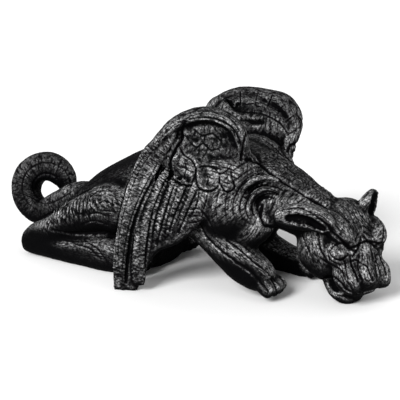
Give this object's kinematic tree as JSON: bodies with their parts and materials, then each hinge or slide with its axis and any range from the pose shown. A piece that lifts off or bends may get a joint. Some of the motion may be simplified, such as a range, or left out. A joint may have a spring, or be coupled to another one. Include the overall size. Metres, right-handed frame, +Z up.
{
  "type": "stone gargoyle",
  "caption": "Crouching winged panther gargoyle in dark stone, head lowered to the ground, wings folded upright, tail in a closed curl.",
  "frame": {"origin": "centre of the figure's bounding box on the plane that its soles, belly and chin rest on", "axes": "+X along the back towards the head, +Y to the animal's left, +Z up"},
  "size_m": [0.6006, 0.274, 0.2523],
  "materials": {
    "stone": "near-black carved stone, dull, worn to a fine grey grain on the raised carving"
  },
  "bodies": {
    "root": {"gargoyle": "stone"}
  },
  "joints": []
}
